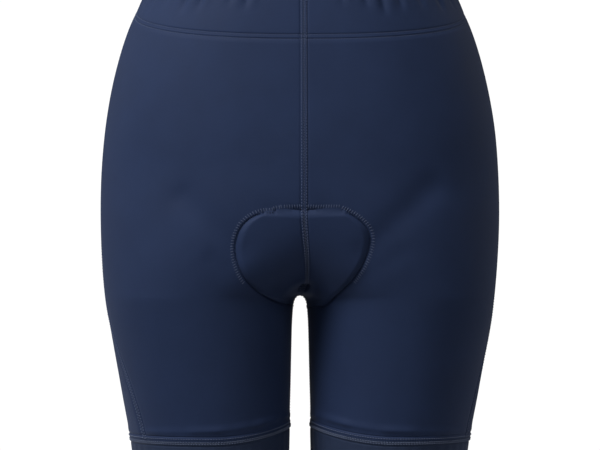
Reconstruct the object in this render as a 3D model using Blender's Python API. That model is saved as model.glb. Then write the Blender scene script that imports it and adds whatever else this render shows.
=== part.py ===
"""Cycling shorts, hollow and filled out as when worn.

Metres, +Z up, with the front toward -Y and the wearer's left toward +X. The origin is the middle
of the waist, half way up the elastic, where the wearer holds the garment.
"""

import math

import bmesh
import bpy
import numpy as np

# Cloth
PANEL_WALL = 0.0012
WAISTBAND_WALL = 0.0022
HEM_WALL = 0.0018
SEAM_GAP = 0.0003

# Level edges: height at the middle, and rise for each metre backward
TOP_EDGE = (0.016, 0.20)
WAIST_SEAM = (-0.048, 0.265)

# Where the legs part, and the crotch point where all four leg panels meet
PARTING_START = -0.180
CROTCH = -0.3006
CREASE_RADIUS = 0.0026
LEG_GAP = 0.0040
LEG_GAP_CURVE = 0.0033
LEG_SPREAD = 0.025

# Leg bands
HEM_SEAM = -0.426
HEM_LIFT = 0.012
HEM_HEIGHT = 0.046

# The body's sections, from the leg edge up to the top edge, and below these to keep the curve
SECTION_COLUMNS = ("height", "half_width", "front", "back", "squareness")
SECTIONS = (
    (-0.500, 0.1400, 0.0730, 0.0730, 2.10),
    (-0.473, 0.1450, 0.0750, 0.0740, 2.10),
    (-0.430, 0.1508, 0.0795, 0.0770, 2.10),
    (-0.385, 0.1590, 0.0860, 0.0820, 2.12),
    (-0.345, 0.1660, 0.0920, 0.0905, 2.16),
    (-0.305, 0.1725, 0.0985, 0.1020, 2.22),
    (-0.265, 0.1762, 0.1060, 0.1165, 2.28),
    (-0.225, 0.1775, 0.1110, 0.1255, 2.30),
    (-0.185, 0.1763, 0.1120, 0.1275, 2.30),
    (-0.145, 0.1723, 0.1105, 0.1240, 2.30),
    (-0.105, 0.1645, 0.1075, 0.1160, 2.30),
    (-0.065, 0.1525, 0.1030, 0.1070, 2.30),
    (-0.025, 0.1345, 0.0965, 0.1000, 2.28),
    (0.010, 0.1225, 0.0920, 0.0960, 2.26),
    (0.045, 0.1160, 0.0890, 0.0930, 2.25),
)

# Side seams: how far each has turned forward from the garment's side, in degrees
SIDE_SEAM_COLUMNS = ("height", "right", "left")
SIDE_SEAMS = (
    (-0.473, 41.0, 28.0),
    (-0.430, 38.0, 25.0),
    (-0.385, 31.0, 20.0),
    (-0.350, 20.0, 12.0),
    (-0.310, 4.0, 2.0),
    (-0.250, -5.0, -5.0),
    (-0.150, -8.0, -8.0),
    (-0.050, -8.0, -8.0),
    (0.045, -8.0, -8.0),
)

# Gathers of the waist elastic, by their turn from the garment's side toward the front, in degrees
GATHER_COLUMNS = ("turn", "depth", "half_width", "foot")
GATHERS = {
    "right": (
        (73.7, 0.0011, 0.0034, -0.050),
        (67.6, 0.0009, 0.0032, -0.047),
        (55.3, 0.0010, 0.0030, -0.050),
        (47.6, 0.0012, 0.0036, -0.052),
        (36.5, 0.0009, 0.0034, -0.046),
        (25.0, 0.0011, 0.0038, -0.050),
        (12.0, 0.0008, 0.0034, -0.044),
        (-2.0, 0.0010, 0.0036, -0.046),
        (-15.5, 0.0012, 0.0038, -0.044),
        (-27.0, 0.0009, 0.0034, -0.040),
        (-37.5, 0.0011, 0.0036, -0.042),
        (-49.5, 0.0010, 0.0034, -0.036),
        (-58.0, 0.0012, 0.0038, -0.038),
        (-68.5, 0.0009, 0.0034, -0.032),
        (-78.5, 0.0011, 0.0034, -0.034),
    ),
    "left": (
        (79.7, 0.0009, 0.0032, -0.047),
        (71.5, 0.0010, 0.0034, -0.050),
        (65.2, 0.0012, 0.0034, -0.055),
        (57.6, 0.0011, 0.0034, -0.051),
        (47.0, 0.0009, 0.0034, -0.048),
        (35.0, 0.0011, 0.0036, -0.050),
        (23.5, 0.0009, 0.0034, -0.046),
        (9.0, 0.0012, 0.0038, -0.049),
        (-5.5, 0.0010, 0.0034, -0.043),
        (-19.0, 0.0009, 0.0036, -0.045),
        (-31.5, 0.0011, 0.0036, -0.041),
        (-43.0, 0.0010, 0.0034, -0.038),
        (-53.5, 0.0012, 0.0038, -0.039),
        (-64.0, 0.0009, 0.0034, -0.033),
        (-75.0, 0.0011, 0.0036, -0.035),
    ),
}
GATHER_FADE = 0.020
GATHER_STEPS = (-1.3, 0, 1.3)
LEAST_STEP = 0.4

# The seat pad, by the turn round its axis from straight forward down and back, in degrees
PAD_AXIS = (0.005, -0.215)
PAD_COLUMNS = ("turn", "right", "left")
PAD_OUTLINE = (
    (5.0, 0.0170, 0.0310),
    (5.8, 0.0275, 0.0345),
    (7.0, 0.0385, 0.0395),
    (8.5, 0.0450, 0.0447),
    (10.5, 0.0505, 0.0497),
    (13.0, 0.0545, 0.0543),
    (17.0, 0.0580, 0.0570),
    (22.0, 0.0595, 0.0560),
    (27.0, 0.0583, 0.0527),
    (34.0, 0.0532, 0.0455),
    (40.0, 0.0450, 0.0385),
    (47.0, 0.0343, 0.0318),
    (55.0, 0.0243, 0.0265),
    (63.0, 0.0172, 0.0190),
    (75.0, 0.0125, 0.0140),
    (90.0, 0.0120, 0.0125),
    (105.0, 0.0150, 0.0150),
    (120.0, 0.0260, 0.0260),
    (135.0, 0.0460, 0.0460),
    (150.0, 0.0660, 0.0660),
    (165.0, 0.0740, 0.0740),
    (175.0, 0.0700, 0.0700),
    (183.0, 0.0580, 0.0580),
    (188.0, 0.0400, 0.0400),
)
PAD_RELIEF = 0.0018
PAD_RAMP = 0.009
PAD_THICKNESS = 0.0080
PAD_EDGE_THICKNESS = 0.0015
PAD_EDGE_SLOPE = 0.016
PAD_SNAP = 0.0006

# Soft creases, as valleys between two points seen from the front or the back
CREASE_COLUMNS = (
    "face",
    "side",
    "start_out",
    "start_height",
    "end_out",
    "end_height",
    "spread",
    "depth",
)
CREASES = (
    ("front", "left", 0.052, -0.262, 0.112, -0.205, 0.013, 0.0022),
    ("front", "left", 0.040, -0.290, 0.085, -0.262, 0.010, 0.0010),
    ("front", "right", 0.056, -0.262, 0.104, -0.214, 0.013, 0.0016),
    ("front", "right", 0.042, -0.292, 0.080, -0.268, 0.010, 0.0009),
    ("back", "left", 0.040, -0.292, 0.120, -0.276, 0.012, 0.0020),
    ("back", "right", 0.042, -0.294, 0.126, -0.274, 0.012, 0.0018),
)
CREASE_ENDS = 0.35

# The meshes: lengths between rows at the centre seam and the inner leg, and shares across a panel.
# A leg panel's rows fan out from the crotch, and at the side seam the crotch row is this high.
CENTRE_ROWS = (0.026, 0.026, 0.026, 0.026, 0.024) + (0.0125,) * 11
INNER_LEG_ROWS = (0.0016, 0.0026, 0.0045, 0.0080, 0.0140, 0.0190, 0.0210, 0.0210, 0.0210)
SIDE_LEVEL_AT_CROTCH = -0.318
SHARES_OVER_PAD = (0, 0.010, 0.024, 0.043, 0.068, 0.098, 0.130, 0.160, 0.188, 0.218)
SHARES_BEYOND_PAD = (0.26, 0.33, 0.43, 0.55, 0.68, 0.80, 0.91, 1)
COLUMN_SHARES = SHARES_OVER_PAD + SHARES_BEYOND_PAD
WAISTBAND_ROWS = 6
HEM_ROWS = 4

SIDES = {"right": -1, "left": 1}
FACES = {"front": 1, "back": -1}
QUARTER_TURN = math.pi / 2
CURVE_POINTS = 1200
LEVEL_ROUNDS = 12
SLOPE_STEP = 0.00002
SHARP_ANGLE = math.radians(40)

NAVY = (0.022, 0.034, 0.078, 1)
DARK_NAVY = (0.016, 0.024, 0.056, 1)
PAD_GREY = (0.030, 0.034, 0.045, 1)


def column(table, names, name):
    """One named column of a table, as an array."""
    place = names.index(name)
    return np.array([row[place] for row in table], float)


def through(places, values, at):
    """Values on a smooth curve through a table's rows."""
    slopes = np.gradient(values, places)
    at = np.clip(at, places[0], places[-1])
    row = np.clip(np.searchsorted(places, at, side="right") - 1, 0, len(places) - 2)
    span = places[row + 1] - places[row]
    part = (at - places[row]) / span
    rest = 1 - part
    start = rest * rest * (values[row] * (1 + 2 * part) + slopes[row] * span * part)
    end = part * part * (values[row + 1] * (1 + 2 * rest) - slopes[row + 1] * span * rest)
    return start + end


def ease(share):
    """0 below 0, 1 above 1, and a smooth step between."""
    share = np.clip(share, 0, 1)
    return share * share * (3 - 2 * share)


def signed_power(value, power):
    return np.sign(value) * np.abs(value) ** power


SECTION_TABLE = {name: column(SECTIONS, SECTION_COLUMNS, name) for name in SECTION_COLUMNS}


def section(height):
    """Half width, front and back depth, squareness, and the parting of the two legs: 0 in one
    round body, 1 at the crotch, more where the legs stand apart."""
    heights = SECTION_TABLE["height"]
    width, front, back, squareness = (
        through(heights, SECTION_TABLE[name], height) for name in SECTION_COLUMNS[1:]
    )
    above = np.clip((PARTING_START - height) / (PARTING_START - CROTCH), 0, 1)
    below = np.maximum(CROTCH - height, 0)
    inner = LEG_GAP * (1 - np.exp(-below / LEG_GAP_CURVE)) + LEG_SPREAD * below
    reach = eased_in(width)
    parting = above**2 * (reach + inner) / (reach - inner)
    return width, front, back, squareness, parting


def eased_in(out):
    """Distance from the centre plane, with the fold there rounded to the crease radius."""
    return np.sqrt(out**2 + CREASE_RADIUS**2) - CREASE_RADIUS


def eased_out(inward):
    """The reverse of eased_in."""
    inward = np.maximum(inward, 0)
    return np.sqrt(inward**2 + 2 * CREASE_RADIUS * inward)


def on_form(turn, height, side):
    """Points of the outer form. The turn starts at the garment's side, grows toward the front and
    falls toward the back."""
    width, front, back, squareness, parting = section(height)
    half = eased_in(width) / (1 + parting)
    power = 2 / squareness
    inward = half * (parting + signed_power(np.cos(turn), power))
    depth = np.where(turn > 0, front, back)
    y = -depth * signed_power(np.sin(turn), power)
    return np.stack([side * eased_out(inward), y, height + 0 * y], axis=-1)


def misfit(points):
    """0 on the outer form, less inside it and more outside."""
    width, front, back, squareness, parting = section(points[..., 2])
    half = eased_in(width) / (1 + parting)
    across = np.abs(eased_in(points[..., 0]) / half - parting)
    depth = np.where(points[..., 1] < 0, front, back)
    along = np.abs(points[..., 1]) / depth
    return (across**squareness + along**squareness) ** (1 / squareness) - 1


def outward(points):
    """Unit directions out of the form."""
    steps = SLOPE_STEP * np.eye(3)
    slopes = [misfit(points + step) - misfit(points - step) for step in steps]
    slopes = np.stack(slopes, axis=-1)
    return slopes / np.linalg.norm(slopes, axis=-1, keepdims=True)


def level_with(out, rise):
    """Outward directions turned into the plane of a level edge that climbs backward."""
    across = np.array([0, -rise, 1]) / math.hypot(rise, 1)
    flat = out - (out @ across)[..., None] * across
    return flat / np.linalg.norm(flat, axis=-1, keepdims=True)


def centre_turn(height):
    """Turn at which the form meets the centre plane, or the innermost line of a leg."""
    squareness, parting = section(height)[3:]
    return np.arccos(-np.minimum(parting, 1) ** (squareness / 2))


def edge_height(edge, turn, side):
    """Height of a level edge at these turns."""
    level, rise = edge
    height = level + 0 * turn
    for _ in range(LEVEL_ROUNDS):
        height = level + rise * on_form(turn, height, side)[..., 1]
    return height


def hem_seam_height(turn):
    """The leg band's seam is pulled up toward the inner leg."""
    return HEM_SEAM + HEM_LIFT * ease(np.abs(turn) / QUARTER_TURN - 1)


def side_seam_turn(height, side_name):
    heights = column(SIDE_SEAMS, SIDE_SEAM_COLUMNS, "height")
    turns = column(SIDE_SEAMS, SIDE_SEAM_COLUMNS, side_name)
    return np.radians(through(heights, turns, height))


def lengths_along(points):
    return np.append(0, np.cumsum(np.linalg.norm(np.diff(points, axis=0), axis=1)))


def crotch_curve(face):
    """The centre seam of the front (1) or the back (-1), from above the waist seam to the crotch."""
    share = np.linspace(0, 1, CURVE_POINTS)
    height = CROTCH - CROTCH * (1 - share) ** 3
    return on_form(face * centre_turn(height), height, 1)


def pad_turn_and_reach(y, z):
    forward = PAD_AXIS[0] - y
    down = PAD_AXIS[1] - z
    return np.arctan2(down, forward), np.hypot(down, forward)


def crotch_reach_table():
    """The whole crotch curve as turn and distance round the pad's axis."""
    front = crotch_curve(FACES["front"])
    back = crotch_curve(FACES["back"])[::-1]
    curve = np.concatenate([front[:-1], back])
    turn, reach = pad_turn_and_reach(curve[:, 1], curve[:, 2])
    turn = np.where(turn < -QUARTER_TURN, turn + 2 * math.pi, turn)
    order = np.argsort(turn)
    return turn[order], reach[order]


CROTCH_TURNS, CROTCH_REACHES = crotch_reach_table()
PAD_TURNS = np.radians(column(PAD_OUTLINE, PAD_COLUMNS, "turn"))
PAD_WIDTHS = {side: column(PAD_OUTLINE, PAD_COLUMNS, side) for side in SIDES}


def pad_half_width(turn, x):
    widths = [through(PAD_TURNS, PAD_WIDTHS[side], turn) for side in ("right", "left")]
    return np.where(x < 0, *widths)


def pad_depth(points):
    """How far inside the pad's outline, or outside it when negative."""
    x = points[..., 0]
    turn, reach = pad_turn_and_reach(points[..., 1], points[..., 2])
    turn = np.where(turn < -QUARTER_TURN, turn + 2 * math.pi, turn)
    aside = np.hypot(x, reach - np.interp(turn, CROTCH_TURNS, CROTCH_REACHES))
    inside = pad_half_width(turn, x) - aside
    from_front = (turn - PAD_TURNS[0]) * reach
    from_back = (PAD_TURNS[-1] - turn) * reach
    return np.minimum(np.minimum(inside, from_front), from_back)


def pad_relief(points):
    """How far the pad under the cloth pushes it out."""
    return PAD_RELIEF * ease(pad_depth(points) / PAD_RAMP)


def crease_relief(points):
    """Soft valleys at the groin and under the seat."""
    total = np.zeros(points.shape[:-1])
    for row in CREASES:
        crease = dict(zip(CREASE_COLUMNS, row))
        start = np.array([crease["start_out"], crease["start_height"]])
        run = np.array([crease["end_out"], crease["end_height"]]) - start
        flat = np.stack([SIDES[crease["side"]] * points[..., 0], points[..., 2]], axis=-1) - start
        share = flat @ run / (run @ run)
        across = np.linalg.norm(flat - np.clip(share, 0, 1)[..., None] * run, axis=-1)
        ends = ease((share + CREASE_ENDS) / CREASE_ENDS) * ease((1 + CREASE_ENDS - share) / CREASE_ENDS)
        facing = ease(-FACES[crease["face"]] * points[..., 1] / crease["spread"])
        total -= crease["depth"] * ends * facing * np.exp(-((across / crease["spread"]) ** 2))
    return total


def row_lengths_to_heights(face):
    """Heights of a leg panel's rows at the centre seam and then down the inner leg."""
    curve = crotch_curve(face)
    seam_height = WAIST_SEAM[0] + WAIST_SEAM[1] * curve[:, 1]
    curve = curve[curve[:, 2] <= seam_height]
    lengths = lengths_along(curve)
    wanted = np.append(0, np.cumsum(CENTRE_ROWS))
    centre = np.interp(wanted / wanted[-1] * lengths[-1], lengths, curve[:, 2])
    hem = hem_seam_height(math.pi)
    down = np.cumsum(INNER_LEG_ROWS)
    leg = CROTCH + (hem - CROTCH) * down / down[-1]
    return centre, leg


def leg_panel_points(face, side_name):
    """Outer points of a leg panel, as rows from the waist seam to the hem seam and columns from the
    centre seam or inner leg to the side seam."""
    side = SIDES[side_name]
    centre, leg = row_lengths_to_heights(face)
    inner_height = np.concatenate([centre, leg])
    inner_turn = face * centre_turn(inner_height)
    top_turn = side_seam_turn(np.array(WAIST_SEAM[0]), side_name)
    top = edge_height(WAIST_SEAM, top_turn, side)
    bottom = hem_seam_height(side_seam_turn(np.array(HEM_SEAM), side_name))
    share_down = np.linspace(0, 1, len(centre))
    upper = top + (SIDE_LEVEL_AT_CROTCH - top) * share_down
    lower = SIDE_LEVEL_AT_CROTCH + (bottom - SIDE_LEVEL_AT_CROTCH) * np.arange(1, len(leg) + 1) / len(leg)
    side_height = np.concatenate([upper, lower])
    side_turn = side_seam_turn(side_height, side_name)

    share = np.array(COLUMN_SHARES)[None, :]
    turn = inner_turn[:, None] * (1 - share) + side_turn[:, None] * share
    height = inner_height[:, None] * (1 - share) + side_height[:, None] * share
    down = ((inner_height[0] - inner_height) / (inner_height[0] - inner_height[-1]))[:, None]
    top_error = edge_height(WAIST_SEAM, turn[0], side) - height[0]
    bottom_error = hem_seam_height(turn[-1]) - height[-1]
    # The centre seam and inner leg keep the heights that front and back share
    off_centre = share > 0
    height = height + off_centre * (top_error * (1 - down) ** 2 + bottom_error * down**3)
    return on_form(turn, height, side)


def drawn_back(points, face, side):
    """A leg panel's points with each edge half a seam gap short of the seam."""
    gap = SEAM_GAP / 2
    points = points.copy()
    crotch_row = len(CENTRE_ROWS)
    points[: crotch_row + 1, 0, 0] += side * gap
    points[crotch_row:, 0, 1] -= face * gap
    inwards = points[:, -2] - points[:, -1]
    points[:, -1] += gap * inwards / np.linalg.norm(inwards, axis=1, keepdims=True)
    points[0, :, 2] -= gap
    points[-1, :, 2] += gap
    return points


def gather_relief(turn, points, side_name):
    """Valleys that the elastic draws in the waistband, fading below it."""
    total = np.zeros(turn.shape)
    for row in GATHERS[side_name]:
        gather = dict(zip(GATHER_COLUMNS, row))
        centre = on_form(np.radians(gather["turn"]), points[..., 2], SIDES[side_name])
        across = np.linalg.norm(points - centre, axis=-1)
        fade = ease((points[..., 2] - gather["foot"]) / GATHER_FADE)
        total -= gather["depth"] * fade * np.exp(-((across / gather["half_width"]) ** 2))
    return total


def waistband_turns(side_name):
    """Columns on and beside each gather, from the front to the back."""
    turns = [QUARTER_TURN, -QUARTER_TURN]
    radius = SECTION_TABLE["half_width"][-2]
    for row in GATHERS[side_name]:
        gather = dict(zip(GATHER_COLUMNS, row))
        middle = math.radians(gather["turn"])
        half_turn = gather["half_width"] / radius
        turns += [middle + step * half_turn for step in GATHER_STEPS]
    turns = np.array(sorted(turns, reverse=True))
    apart = np.append(True, -np.diff(turns) > LEAST_STEP * half_turn)
    apart[-1] = True
    return turns[apart]


def waistband(side_name):
    side = SIDES[side_name]
    turn = waistband_turns(side_name)
    down = np.linspace(0, 1, WAISTBAND_ROWS)[:, None]
    top = edge_height(TOP_EDGE, turn, side)
    bottom = edge_height(WAIST_SEAM, turn, side) + SEAM_GAP / 2
    height = top * (1 - down) + bottom * down
    turn = turn + 0 * height
    points = on_form(turn, height, side)
    points[:, [0, -1], 0] = side * SEAM_GAP / 2
    out = outward(points)
    out[-1] = level_with(out[-1], WAIST_SEAM[1])
    outer = points + gather_relief(turn, points, side_name)[..., None] * out
    inner = points - WAISTBAND_WALL * out
    return wall("waistband_" + side_name, outer, inner, cloth("waistband", DARK_NAVY))


def cloth_relief(points):
    return pad_relief(points) + crease_relief(points)


def leg_panel(face_name, side_name):
    points = leg_panel_points(FACES[face_name], side_name)
    points = drawn_back(points, FACES[face_name], SIDES[side_name])
    out = outward(points)
    out[0] = level_with(out[0], WAIST_SEAM[1])
    out[-1] = level_with(out[-1], 0)
    outer = points + cloth_relief(points)[..., None] * out
    inner = outer - PANEL_WALL * out
    return wall(face_name + "_" + side_name, outer, inner, cloth("panel", NAVY))


def hem(side_name):
    """A leg band, as a ring from the hem seam down to the open edge."""
    side = SIDES[side_name]
    side_turn = side_seam_turn(np.array(HEM_SEAM), side_name)
    share = np.array(COLUMN_SHARES)
    front = math.pi * (1 - share) + side_turn * share
    back = -math.pi * (1 - share) + side_turn * share
    turn = np.concatenate([front, back[-2:0:-1]])
    down = np.linspace(0, 1, HEM_ROWS)[:, None]
    top = hem_seam_height(turn) - SEAM_GAP / 2
    height = top - (HEM_HEIGHT - SEAM_GAP / 2) * down
    points = on_form(turn + 0 * height, height, side)
    inner = points - HEM_WALL * level_with(outward(points), 0)
    return wall("hem_" + side_name, points, inner, cloth("hem", DARK_NAVY), ring=True)


def under_panel(grid):
    """A panel point, the point under the cloth there, the way out, and the depth in the pad, in rows."""
    points = grid.reshape(-1, 3)
    out = outward(points)
    under = points + (cloth_relief(points) - PANEL_WALL - SEAM_GAP)[:, None] * out
    depth = pad_depth(points)
    depth = np.where(np.abs(depth) < PAD_SNAP, 0, depth)
    return np.hstack([points, under, out, depth[:, None]])


def pad_cover():
    """The part of the four leg panels' own triangles that lies over the pad, joined at the seams."""
    numbers = {}
    rows = []
    triangles = []

    def number(row):
        key = tuple(np.round(row[:3], 6) + 0.0)
        if key not in numbers:
            numbers[key] = len(rows)
            rows.append(row)
        return numbers[key]

    for face in FACES.values():
        for side_name in SIDES:
            grid = leg_panel_points(face, side_name)
            panel = under_panel(grid)
            index = np.arange(len(panel)).reshape(grid.shape[:2])
            for triangle in two_triangles(index):
                corners = [number(row) for row in clipped(panel[triangle])]
                # The right front and left back grids already run round the outer side
                if face * SIDES[side_name] > 0:
                    corners.reverse()
                triangles += [(corners[0], *corners[i : i + 2]) for i in range(1, len(corners) - 1)]
    return np.array(rows), np.array(triangles)


def clipped(corners):
    """The part of a triangle that lies over the pad, as corners in order. Depth is the last column."""
    if corners[:, -1].max() <= 0:
        return []
    kept = []
    for here, there in zip(corners, np.roll(corners, -1, axis=0)):
        if here[-1] >= 0:
            kept.append(here)
        if here[-1] * there[-1] < 0:
            kept.append(here + (there - here) * here[-1] / (here[-1] - there[-1]))
    return kept


def pad():
    """The seat pad, which lies inside all four leg panels and thins toward its edge."""
    rows, triangles = pad_cover()
    outer, out, depth = rows[:, 3:6], rows[:, 6:9], rows[:, 9]
    fullness = ease(depth / PAD_EDGE_SLOPE)
    thickness = PAD_EDGE_THICKNESS + (PAD_THICKNESS - PAD_EDGE_THICKNESS) * fullness
    under = triangles[:, ::-1] + len(rows)
    faces = [*triangles.tolist(), *under.tolist(), *rim(triangles, len(rows))]
    inner = outer - thickness[:, None] * out
    return solid("pad", np.concatenate([outer, inner]), faces, cloth("pad", PAD_GREY))


def rim(triangles, count):
    """Triangles that join the open edge of a sheet to the same edge of its other side."""
    edges = np.concatenate([triangles[:, [0, 1]], triangles[:, [1, 2]], triangles[:, [2, 0]]])
    open_edges = {tuple(edge) for edge in edges.tolist()} - {tuple(edge) for edge in edges[:, ::-1].tolist()}
    joined = []
    for start, end in sorted(open_edges):
        joined += [(start, end, end + count), (start, end + count, start + count)]
    return joined


def two_triangles(grid):
    """Each square of a grid as two triangles."""
    first = np.stack([grid[:-1, :-1], grid[:-1, 1:], grid[1:, 1:]], axis=-1)
    second = np.stack([grid[:-1, :-1], grid[1:, 1:], grid[1:, :-1]], axis=-1)
    return np.concatenate([first.reshape(-1, 3), second.reshape(-1, 3)])


def wall(name, outer, inner, material, ring=False):
    """A closed solid between two grids of points. A ring's columns meet."""
    count = outer.shape[0] * outer.shape[1]
    grid = np.arange(count).reshape(outer.shape[:2])
    if ring:
        grid = np.hstack([grid, grid[:, :1]])
    triangles = two_triangles(grid)
    faces = [*triangles.tolist(), *(triangles[:, ::-1] + count).tolist(), *rim(triangles, count)]
    points = np.concatenate([outer.reshape(-1, 3), inner.reshape(-1, 3)])
    return solid(name, points, faces, material)


def solid(name, points, faces, material):
    mesh = bpy.data.meshes.new(name)
    mesh.from_pydata(points.tolist(), [], faces)
    shape = bmesh.new()
    shape.from_mesh(mesh)
    bmesh.ops.recalc_face_normals(shape, faces=shape.faces)
    shape.to_mesh(mesh)
    shape.free()
    mesh.shade_smooth()
    mesh.set_sharp_from_angle(angle=SHARP_ANGLE)
    mesh.materials.append(material)
    made = bpy.data.objects.new(name, mesh)
    bpy.context.scene.collection.objects.link(made)
    return made


def cloth(name, colour):
    """A knit cloth of one colour."""
    material = bpy.data.materials.get(name) or bpy.data.materials.new(name)
    material.use_nodes = True
    shader = material.node_tree.nodes["Principled BSDF"]
    shader.inputs["Base Color"].default_value = colour
    shader.inputs["Roughness"].default_value = 0.62
    shader.inputs["Metallic"].default_value = 0
    shader.inputs["Sheen Weight"].default_value = 0.25
    return material


def build():
    for old in list(bpy.data.objects):
        bpy.data.objects.remove(old, do_unlink=True)
    for side_name in SIDES:
        waistband(side_name)
        for face_name in FACES:
            leg_panel(face_name, side_name)
        hem(side_name)
    pad()


build()
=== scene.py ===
"""The dressed cycling shorts: fine knit shells, sewn seams, the seat pad, and the studio.

Metres, +Z up, with the front toward -Y and the wearer's left toward +X, as in the frame.
"""

import math

import bmesh
import bpy
import numpy as np
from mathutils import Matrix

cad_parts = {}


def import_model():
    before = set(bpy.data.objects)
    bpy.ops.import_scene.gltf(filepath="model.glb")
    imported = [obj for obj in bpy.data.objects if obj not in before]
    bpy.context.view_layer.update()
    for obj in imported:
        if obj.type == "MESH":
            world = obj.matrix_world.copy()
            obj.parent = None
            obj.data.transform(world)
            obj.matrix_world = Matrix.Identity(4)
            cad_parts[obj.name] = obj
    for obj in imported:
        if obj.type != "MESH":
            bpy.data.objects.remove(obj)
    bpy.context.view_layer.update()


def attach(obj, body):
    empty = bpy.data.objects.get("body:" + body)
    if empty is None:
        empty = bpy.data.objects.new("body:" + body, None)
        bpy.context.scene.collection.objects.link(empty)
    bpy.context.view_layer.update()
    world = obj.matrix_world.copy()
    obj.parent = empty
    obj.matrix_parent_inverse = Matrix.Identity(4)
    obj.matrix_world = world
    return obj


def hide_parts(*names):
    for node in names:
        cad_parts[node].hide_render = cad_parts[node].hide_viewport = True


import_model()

# Cloth
PANEL_WALL = 0.0012
WAISTBAND_WALL = 0.0022
HEM_WALL = 0.0018

# Level edges: height at the middle, and rise for each metre backward
TOP_EDGE = (0.016, 0.20)
WAIST_SEAM = (-0.048, 0.265)

# Where the legs part, and the crotch point where all four leg panels meet
PARTING_START = -0.180
CROTCH = -0.3006
CREASE_RADIUS = 0.0026
LEG_GAP = 0.0040
LEG_GAP_CURVE = 0.0033
LEG_SPREAD = 0.025

# Leg bands
HEM_SEAM = -0.426
HEM_LIFT = 0.012
HEM_HEIGHT = 0.046

# The body's sections, from the leg edge up to the top edge, and below these to keep the curve
SECTION_COLUMNS = ("height", "half_width", "front", "back", "squareness")
SECTIONS = (
    (-0.500, 0.1400, 0.0730, 0.0730, 2.10),
    (-0.473, 0.1450, 0.0750, 0.0740, 2.10),
    (-0.430, 0.1508, 0.0795, 0.0770, 2.10),
    (-0.385, 0.1590, 0.0860, 0.0820, 2.12),
    (-0.345, 0.1660, 0.0920, 0.0905, 2.16),
    (-0.305, 0.1725, 0.0985, 0.1020, 2.22),
    (-0.265, 0.1762, 0.1060, 0.1165, 2.28),
    (-0.225, 0.1775, 0.1110, 0.1255, 2.30),
    (-0.185, 0.1763, 0.1120, 0.1275, 2.30),
    (-0.145, 0.1723, 0.1105, 0.1240, 2.30),
    (-0.105, 0.1645, 0.1075, 0.1160, 2.30),
    (-0.065, 0.1525, 0.1030, 0.1070, 2.30),
    (-0.025, 0.1345, 0.0965, 0.1000, 2.28),
    (0.010, 0.1225, 0.0920, 0.0960, 2.26),
    (0.045, 0.1160, 0.0890, 0.0930, 2.25),
)

# Side seams: how far each has turned forward from the garment's side, in degrees
SIDE_SEAM_COLUMNS = ("height", "right", "left")
SIDE_SEAMS = (
    (-0.473, 41.0, 28.0),
    (-0.430, 38.0, 25.0),
    (-0.385, 31.0, 20.0),
    (-0.350, 20.0, 12.0),
    (-0.310, 4.0, 2.0),
    (-0.250, -5.0, -5.0),
    (-0.150, -8.0, -8.0),
    (-0.050, -8.0, -8.0),
    (0.045, -8.0, -8.0),
)

# Gathers of the waist elastic, by their turn from the garment's side toward the front, in degrees
GATHER_COLUMNS = ("turn", "depth", "half_width", "foot")
GATHERS = {
    "right": (
        (73.7, 0.0011, 0.0034, -0.050),
        (67.6, 0.0009, 0.0032, -0.047),
        (55.3, 0.0010, 0.0030, -0.050),
        (47.6, 0.0012, 0.0036, -0.052),
        (36.5, 0.0009, 0.0034, -0.046),
        (25.0, 0.0011, 0.0038, -0.050),
        (12.0, 0.0008, 0.0034, -0.044),
        (-2.0, 0.0010, 0.0036, -0.046),
        (-15.5, 0.0012, 0.0038, -0.044),
        (-27.0, 0.0009, 0.0034, -0.040),
        (-37.5, 0.0011, 0.0036, -0.042),
        (-49.5, 0.0010, 0.0034, -0.036),
        (-58.0, 0.0012, 0.0038, -0.038),
        (-68.5, 0.0009, 0.0034, -0.032),
        (-78.5, 0.0011, 0.0034, -0.034),
    ),
    "left": (
        (79.7, 0.0009, 0.0032, -0.047),
        (71.5, 0.0010, 0.0034, -0.050),
        (65.2, 0.0012, 0.0034, -0.055),
        (57.6, 0.0011, 0.0034, -0.051),
        (47.0, 0.0009, 0.0034, -0.048),
        (35.0, 0.0011, 0.0036, -0.050),
        (23.5, 0.0009, 0.0034, -0.046),
        (9.0, 0.0012, 0.0038, -0.049),
        (-5.5, 0.0010, 0.0034, -0.043),
        (-19.0, 0.0009, 0.0036, -0.045),
        (-31.5, 0.0011, 0.0036, -0.041),
        (-43.0, 0.0010, 0.0034, -0.038),
        (-53.5, 0.0012, 0.0038, -0.039),
        (-64.0, 0.0009, 0.0034, -0.033),
        (-75.0, 0.0011, 0.0036, -0.035),
    ),
}
GATHER_FADE = 0.016
GATHER_DROP = -0.005
GATHER_FULLNESS = 1.5

# The seat pad, by the turn round its axis from straight forward down and back, in degrees
PAD_AXIS = (0.005, -0.215)
PAD_COLUMNS = ("turn", "right", "left")
PAD_OUTLINE = (
    (5.0, 0.0170, 0.0310),
    (5.8, 0.0275, 0.0345),
    (7.0, 0.0385, 0.0395),
    (8.5, 0.0450, 0.0447),
    (10.5, 0.0505, 0.0497),
    (13.0, 0.0545, 0.0543),
    (17.0, 0.0580, 0.0570),
    (22.0, 0.0595, 0.0560),
    (27.0, 0.0583, 0.0527),
    (34.0, 0.0532, 0.0455),
    (40.0, 0.0450, 0.0385),
    (47.0, 0.0343, 0.0318),
    (55.0, 0.0243, 0.0265),
    (63.0, 0.0172, 0.0190),
    (75.0, 0.0125, 0.0140),
    (90.0, 0.0120, 0.0125),
    (105.0, 0.0150, 0.0150),
    (120.0, 0.0260, 0.0260),
    (135.0, 0.0460, 0.0460),
    (150.0, 0.0660, 0.0660),
    (165.0, 0.0740, 0.0740),
    (175.0, 0.0700, 0.0700),
    (183.0, 0.0580, 0.0580),
    (188.0, 0.0400, 0.0400),
)
PAD_THICKNESS = 0.0080
PAD_EDGE_THICKNESS = 0.0015
PAD_EDGE_SLOPE = 0.016

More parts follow.
